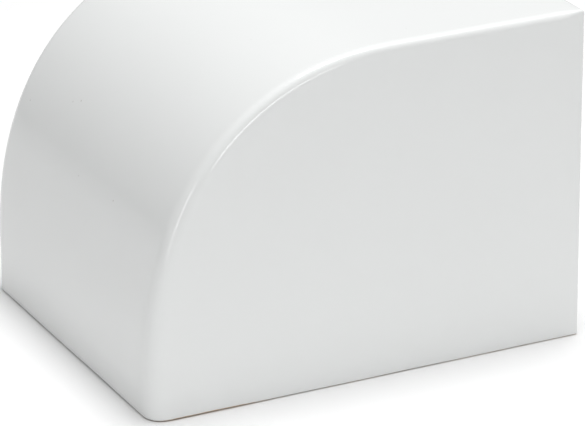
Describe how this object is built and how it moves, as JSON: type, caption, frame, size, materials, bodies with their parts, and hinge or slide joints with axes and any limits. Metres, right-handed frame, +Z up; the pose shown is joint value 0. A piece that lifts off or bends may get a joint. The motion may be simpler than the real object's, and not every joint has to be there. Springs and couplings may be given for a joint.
{
  "type": "covered toast rack",
  "caption": "Toast rack under a lift-off glazed hood with a rolled-over front: wire hoops and rails on a two-layer oak base with a crumb tray that pulls out at the back.",
  "frame": {"origin": "centre of the hood's footprint, on the surface the rubber feet stand on", "axes": "+Z up, the curved front faces -Y, the flat back with the crumb tray's notch faces +Y, +X to the right seen from the front"},
  "size_m": [0.18, 0.22, 0.161],
  "materials": {
    "glaze": "gloss white glaze",
    "oak": "oiled oak",
    "wire": "polished stainless wire",
    "tray_steel": "brushed",
    "fastener_steel": "bright zinc",
    "foot_rubber": "matt",
    "silicone": "translucent matt"
  },
  "bodies": {
    "base": {"top_board": "oak", "bottom_plate": "oak", "runner_left": "oak", "runner_right": "oak", "front_rail": "oak", "base_screw_1": "fastener_steel", "base_screw_2": "fastener_steel", "base_screw_3": "fastener_steel", "base_screw_4": "fastener_steel", "base_screw_5": "fastener_steel", "base_screw_6": "fastener_steel", "foot_1": "foot_rubber", "foot_2": "foot_rubber", "foot_3": "foot_rubber", "foot_4": "foot_rubber", "rest_pad_1": "silicone", "rest_pad_2": "silicone", "rest_pad_3": "silicone", "rest_pad_4": "silicone", "toast_rail_left": "wire", "toast_rail_right": "wire", "rack_hoop_1": "wire", "rack_hoop_2": "wire", "rack_hoop_3": "wire", "rack_hoop_4": "wire", "rack_hoop_5": "wire", "rack_hoop_6": "wire", "rack_hoop_7": "wire", "rack_handle": "wire"},
    "hood_body": {"hood": "glaze"},
    "tray_body": {"crumb_tray": "tray_steel"}
  },
  "joints": [
    {"name": "hood_lift", "type": "slide", "parent": "base", "child": "hood_body", "axis": [0, 0, 1], "range_m": [0, 0.16]},
    {"name": "crumb_tray_slide", "type": "slide", "parent": "base", "child": "tray_body", "axis": [0, 1, 0], "range_m": [0, 0.2]}
  ]
}
